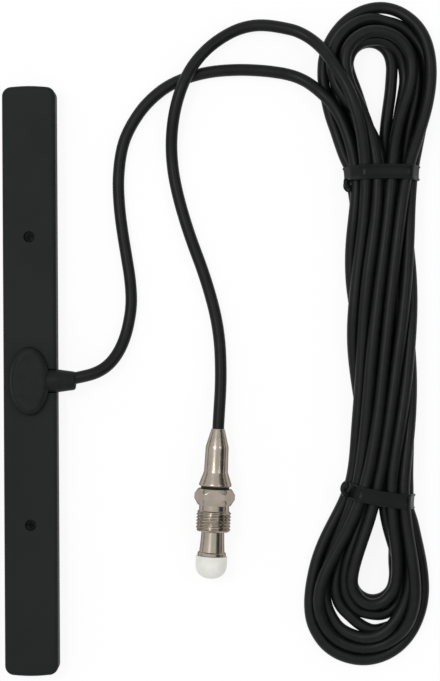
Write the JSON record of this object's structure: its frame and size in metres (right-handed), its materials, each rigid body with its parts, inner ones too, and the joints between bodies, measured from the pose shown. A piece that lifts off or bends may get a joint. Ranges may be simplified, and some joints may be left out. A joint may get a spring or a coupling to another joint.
{
  "type": "cellular window antenna",
  "caption": "Slim stick-on strip antenna with an oval cable grommet, a thin coaxial cable tied in a hank, and a threaded coaxial connector under a push-on cap.",
  "frame": {"origin": "middle of the strip's adhesive back, on the surface that everything lies on", "axes": "+Y along the strip, +Z out of its face, +X towards the cable"},
  "size_m": [0.1016, 0.1562, 0.0086],
  "materials": {
    "moulded_abs": "fine moulded texture, matt black",
    "foam_tape": "closed-cell foam tape",
    "circuit_board": "glass-epoxy laminate",
    "copper_foil": "bare copper",
    "black_screw_steel": "blackened",
    "moulded_pvc": "satin soft moulding",
    "white_polymer": "smooth",
    "tinned_copper": "bright",
    "cable_jacket": "satin extruded jacket",
    "tie_plastic": "semi-gloss",
    "nickel_plate": "bright nickel over turned brass",
    "gold_plate": "bright",
    "cap_plastic": "soft white, slightly translucent"
  },
  "bodies": {
    "root": {"front_cover": "moulded_abs", "base_plate": "moulded_abs", "adhesive_pad": "foam_tape", "antenna_board": "circuit_board", "upper_dipole_arm": "copper_foil", "lower_dipole_arm": "copper_foil", "cover_screws": "black_screw_steel", "cable_grommet": "moulded_pvc", "feed_wire": "copper_foil", "cable_dielectric": "white_polymer", "braid_pigtail": "tinned_copper", "solder_joints": "tinned_copper", "antenna_lead": "cable_jacket", "cable_hank": "cable_jacket", "connector_lead": "cable_jacket", "upper_tie": "tie_plastic", "lower_tie": "tie_plastic", "crimp_ferrule": "nickel_plate", "connector_body": "nickel_plate", "connector_insulator": "white_polymer", "centre_socket": "gold_plate", "dust_cap": "cap_plastic"}
  },
  "joints": []
}
